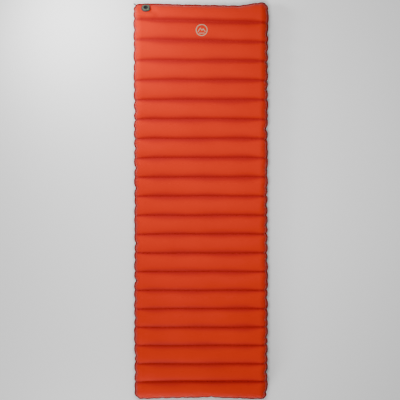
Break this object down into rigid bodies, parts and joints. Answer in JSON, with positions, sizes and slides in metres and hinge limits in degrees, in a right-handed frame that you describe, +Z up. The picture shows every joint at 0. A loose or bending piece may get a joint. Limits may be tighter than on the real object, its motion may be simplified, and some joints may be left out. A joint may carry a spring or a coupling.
{
  "type": "inflatable sleeping pad",
  "caption": "Air sleeping pad with cross-wise tubes, welded fabric sheets, inner baffles and a corner valve with a hinged plug, cap and check flap.",
  "frame": {"origin": "middle of the pad's footprint, on the ground under the inflated tubes", "axes": "+X across the pad, away from the valve's side; +Y along the pad to the head end, where the valve is; +Z up"},
  "size_m": [0.6266, 1.86, 0.08],
  "materials": {
    "face_cloth": "orange-red woven face fabric with an airtight film inside, slight sheen",
    "base_cloth": "dark grey woven base fabric with an airtight film inside",
    "baffle_cloth": "uncoloured film-backed cloth",
    "valve_moulding": "warm grey flexible plastic, satin",
    "valve_plastic": "dark grey fine-grained plastic",
    "seal_rubber": "black rubber",
    "flap_silicone": "pale translucent silicone"
  },
  "bodies": {
    "pad": {"top_sheet": "face_cloth", "bottom_sheet": "base_cloth", "baffle_01": "baffle_cloth", "baffle_02": "baffle_cloth", "baffle_03": "baffle_cloth", "baffle_04": "baffle_cloth", "baffle_05": "baffle_cloth", "baffle_06": "baffle_cloth", "baffle_07": "baffle_cloth", "baffle_08": "baffle_cloth", "baffle_09": "baffle_cloth", "baffle_10": "baffle_cloth", "baffle_11": "baffle_cloth", "baffle_12": "baffle_cloth", "baffle_13": "baffle_cloth", "baffle_14": "baffle_cloth", "baffle_15": "baffle_cloth", "baffle_16": "baffle_cloth", "baffle_17": "baffle_cloth", "baffle_18": "baffle_cloth", "baffle_19": "baffle_cloth", "baffle_20": "baffle_cloth", "valve_base": "valve_moulding", "valve_collar": "valve_plastic", "stage_strap": "valve_moulding"},
    "inflation_stage": {"inflation_stage": "valve_moulding", "stage_seal": "seal_rubber", "flap_anchor": "flap_silicone", "flap_rivet_1": "valve_plastic", "flap_rivet_2": "valve_plastic", "cap_strap": "valve_moulding"},
    "valve_cap": {"valve_cap": "valve_plastic", "cap_seal": "seal_rubber"},
    "check_flap": {"check_flap": "flap_silicone"}
  },
  "joints": [
    {"name": "stage_hinge", "type": "hinge", "parent": "pad", "child": "inflation_stage", "pos_m": [-0.23992, 0.91551, 0.05908], "axis": [-0.7071, 0.5792, -0.4056], "range_deg": [0, 120], "deforming": ["stage_strap"]},
    {"name": "cap_hinge", "type": "hinge", "parent": "inflation_stage", "child": "valve_cap", "pos_m": [-0.26502, 0.91567, 0.06116], "axis": [-0.7071, -0.5792, 0.4056], "range_deg": [0, 135], "deforming": ["cap_strap"]},
    {"name": "flap_hinge", "type": "hinge", "parent": "inflation_stage", "child": "check_flap", "pos_m": [-0.25809, 0.89368, 0.05959], "axis": [-0.7071, 0.5792, -0.4056], "range_deg": [0, 35], "stiffness_Nm_per_rad": 0.0003, "springref_deg": -17.19}
  ]
}
